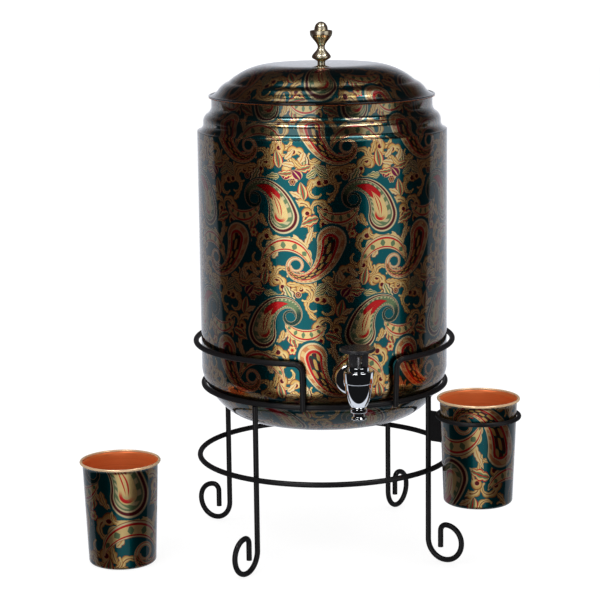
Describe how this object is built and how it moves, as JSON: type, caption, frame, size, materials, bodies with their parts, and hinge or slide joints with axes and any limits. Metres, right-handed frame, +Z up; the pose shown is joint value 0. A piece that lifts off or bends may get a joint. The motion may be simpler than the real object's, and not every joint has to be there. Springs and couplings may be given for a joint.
{
  "type": "copper water dispenser",
  "caption": "Printed copper water pot with a lid and a lever tap, standing in a wire stand with scroll feet that also holds a tumbler, with a second tumbler beside it.",
  "frame": {"origin": "middle of the whole part's box, on the floor under the feet", "axes": "+Z up, the tap faces -Y, the held tumbler is at +X -Y and the loose tumbler is at -X"},
  "size_m": [0.3896, 0.2834, 0.4914],
  "materials": {
    "black_wire": "satin black paint on steel wire",
    "printed_copper": "paisley print under glossy lacquer on copper sheet",
    "bare_copper": "bare copper",
    "brass": "polished",
    "chrome": "polished chrome plate",
    "steel": "plain steel",
    "black_plastic": "glossy black",
    "rubber": "soft matt"
  },
  "bodies": {
    "stand": {"top_rail": "black_wire", "rail_post_left": "black_wire", "rail_post_right": "black_wire", "support_ring": "black_wire", "floor_ring": "black_wire", "leg_front_left": "black_wire", "leg_front_right": "black_wire", "leg_back_left": "black_wire", "leg_back_right": "black_wire", "holder_plate": "black_wire", "holder_ring": "black_wire"},
    "pot": {"pot_base": "printed_copper", "pot_wall": "printed_copper", "pot_collar": "printed_copper", "tap_body": "chrome", "bonnet": "chrome", "outer_gasket": "rubber", "inner_gasket": "rubber", "lock_nut": "steel", "stem_spring": "steel"},
    "lid": {"lid_shell": "printed_copper", "lid_ring": "bare_copper", "finial": "brass", "finial_washer": "steel", "finial_screw": "steel"},
    "valve_stem": {"stem": "steel", "seat_cup": "rubber"},
    "lever": {"tap_handle": "black_plastic", "handle_pin": "steel"},
    "held_tumbler": {"tumbler_held": "printed_copper"},
    "loose_tumbler": {"tumbler_loose": "printed_copper"}
  },
  "joints": [
    {"name": "pot_lift", "type": "slide", "parent": "stand", "child": "pot", "axis": [0, 0, 1], "range_m": [0, 0.12]},
    {"name": "lid_lift", "type": "slide", "parent": "pot", "child": "lid", "axis": [0, 0, 1], "range_m": [0, 0.08]},
    {"name": "stem_lift", "type": "slide", "parent": "pot", "child": "valve_stem", "axis": [0, 0, 1], "range_m": [0, 0.00205], "deforming": ["stem_spring"]},
    {"name": "lever_tilt", "type": "hinge", "parent": "valve_stem", "child": "lever", "pos_m": [0.0394, -0.12875, 0.20636], "axis": [1, 0, 0], "range_deg": [0, 30], "stiffness_Nm_per_rad": 0.06, "springref_deg": -5.73},
    {"name": "held_tumbler_lift", "type": "slide", "parent": "stand", "child": "held_tumbler", "axis": [0, 0, 1], "range_m": [0, 0.12]},
    {"name": "loose_tumbler_lift", "type": "slide", "parent": "stand", "child": "loose_tumbler", "axis": [0, 0, 1], "range_m": [0, 0.12]}
  ],
  "couplings": [
    {"joint": "lever_tilt", "follows": "stem_lift", "rad_per_m": 255.41}
  ]
}
